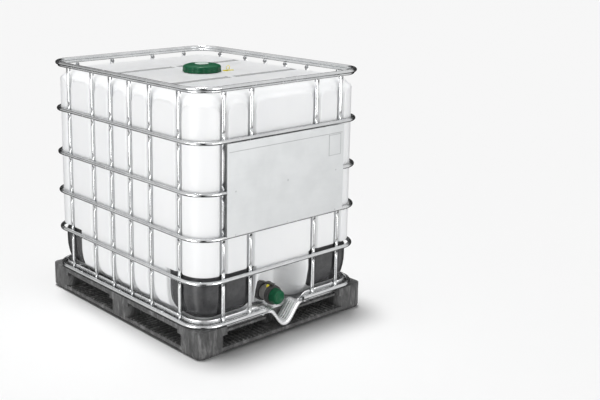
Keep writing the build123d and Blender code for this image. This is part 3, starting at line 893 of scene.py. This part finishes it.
make_lid()
make_outlet_cap()
make_lock_plug()
make_seal_loop()
make_runner_ribs()
make_crimps()
make_plate_marks()
make_bottle()
make_bottle_top()
make_neck()
for post in post_nodes:
    make_post(post)
for guard in (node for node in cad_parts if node.startswith("corner_guard")):
    make_guard(guard)
make_pan()
make_trough()


# --------------------------------------------------------------------- studio
def reflected_studio(tree, bright, dark):
    """Brightness that shiny surfaces see: a tent with dark gaps on three sides and one bright strip."""
    nodes, links = tree.nodes, tree.links
    where = nodes.new("ShaderNodeTexCoord").outputs["Generated"]
    parts = nodes.new("ShaderNodeSeparateXYZ")
    links.new(where, parts.inputs["Vector"])
    level = nodes.new("ShaderNodeVectorMath")
    level.operation = "MULTIPLY"
    level.inputs[1].default_value = (1, 1, 0)
    links.new(where, level.inputs[0])
    unit = nodes.new("ShaderNodeVectorMath")
    unit.operation = "NORMALIZE"
    links.new(level.outputs["Vector"], unit.inputs[0])
    facing = nodes.new("ShaderNodeVectorMath")
    facing.operation = "DOT_PRODUCT"
    facing.inputs[1].default_value = (-0.627, -0.779, 0)
    links.new(unit.outputs["Vector"], facing.inputs[0])
    turn, up = facing.outputs["Value"], parts.outputs["Z"]

    def both(operation, one, other):
        made = nodes.new("ShaderNodeMath")
        made.operation = operation
        links.new(one, made.inputs[0])
        links.new(other, made.inputs[1])
        return made.outputs["Value"]

    behind = both("MULTIPLY", span(tree, turn, 1, 0, -0.52, -0.26), span(tree, up, 1, 0, 0.45, 0.60))
    camera = both("MULTIPLY", span(tree, turn, 0, 1, 0.972, 0.986), span(tree, up, 1, 0, 0.45, 0.60))
    below = span(tree, up, 1, 0, -0.66, -0.50)
    shade = both("MAXIMUM", both("MAXIMUM", behind, camera), below)
    strip = nodes.new("ShaderNodeVectorMath")
    strip.operation = "DOT_PRODUCT"
    strip.inputs[1].default_value = (-0.988, -0.151, 0)
    links.new(unit.outputs["Vector"], strip.inputs[0])
    towards = span(tree, strip.outputs["Value"], 0, 1.7, 0.972, 0.996)
    glow = both("MULTIPLY", towards, span(tree, up, 1, 0, 0.25, 0.45))
    return both("ADD", span(tree, shade, bright, dark, 0.0, 1.0), glow)


def studio():
    """Pale floor, soft lights and the camera."""
    bpy.ops.mesh.primitive_plane_add(size=60, location=(0, 0, -0.0005))
    floor = bpy.context.object
    floor.name = "studio_floor"
    pale, tree, shader = material("studio_pale", (0.915, 0.915, 0.915), 0.9, specular=0.0)
    clear = tree.nodes.new("ShaderNodeBsdfTransparent")
    rays = tree.nodes.new("ShaderNodeLightPath")
    choice = tree.nodes.new("ShaderNodeMixShader")
    tree.links.new(rays.outputs["Is Glossy Ray"], choice.inputs["Fac"])
    tree.links.new(shader.outputs["BSDF"], choice.inputs[1])
    tree.links.new(clear.outputs["BSDF"], choice.inputs[2])
    tree.links.new(choice.outputs["Shader"], tree.nodes["Material Output"].inputs["Surface"])
    floor.data.materials.append(pale)

    world = bpy.data.worlds.new("studio_world")
    bpy.context.scene.world = world
    world.use_nodes = True
    tree = world.node_tree
    rays = tree.nodes.new("ShaderNodeLightPath")
    seen = tree.nodes.new("ShaderNodeMix")
    seen.inputs["A"].default_value = 0.24
    tree.links.new(rays.outputs["Is Glossy Ray"], seen.inputs["Factor"])
    tree.links.new(reflected_studio(tree, 0.84, 0.03), seen.inputs["B"])
    shown = tree.nodes.new("ShaderNodeMix")
    shown.inputs["B"].default_value = 0.92
    tree.links.new(rays.outputs["Is Camera Ray"], shown.inputs["Factor"])
    tree.links.new(seen.outputs["Result"], shown.inputs["A"])
    tree.links.new(shown.outputs["Result"], tree.nodes["Background"].inputs["Strength"])
    tree.nodes["Background"].inputs["Color"].default_value = (1, 1, 1, 1)

    sun = bpy.data.lights.new("overhead", "SUN")
    sun.energy = 2.45
    sun.angle = radians(12)
    lamp = bpy.data.objects.new("overhead", sun)
    lamp.rotation_euler = Vector((0.0, 0.115, 1)).to_track_quat("Z", "Y").to_euler()
    bpy.context.collection.objects.link(lamp)

    beyond_floor = bpy.data.collections.new("beyond_floor")
    beyond_floor.objects.link(floor)
    beyond_floor.collection_objects[0].light_linking.link_state = "EXCLUDE"
    lights = (
        ("side_light", (-4.2, -0.6, 0.9), 2.6, 80),
        ("front_light", (0.6, -4.6, 0.8), 2.6, 76),
    )
    for name, place, size, power in lights:
        data = bpy.data.lights.new(name, "AREA")
        data.shape = "DISK"
        data.size = size
        data.energy = power
        lamp = bpy.data.objects.new(name, data)
        lamp.location = place
        lamp.rotation_euler = (Vector((0, 0, 0.6)) - Vector(place)).to_track_quat("-Z", "Y").to_euler()
        lamp.light_linking.receiver_collection = beyond_floor
        bpy.context.collection.objects.link(lamp)

    lens = bpy.data.cameras.new("camera")
    lens.sensor_width = 36
    lens.lens = 57.9
    lens.shift_x = 0.15
    lens.shift_y = -0.10
    lens.clip_end = 100
    camera = bpy.data.objects.new("camera", lens)
    camera.location = (-2.846, -3.539, 1.770)
    camera.rotation_euler = (radians(90 - 12.21), 0, -radians(39.29))
    bpy.context.collection.objects.link(camera)
    scene = bpy.context.scene
    scene.camera = camera
    scene.view_settings.view_transform = "Standard"


studio()
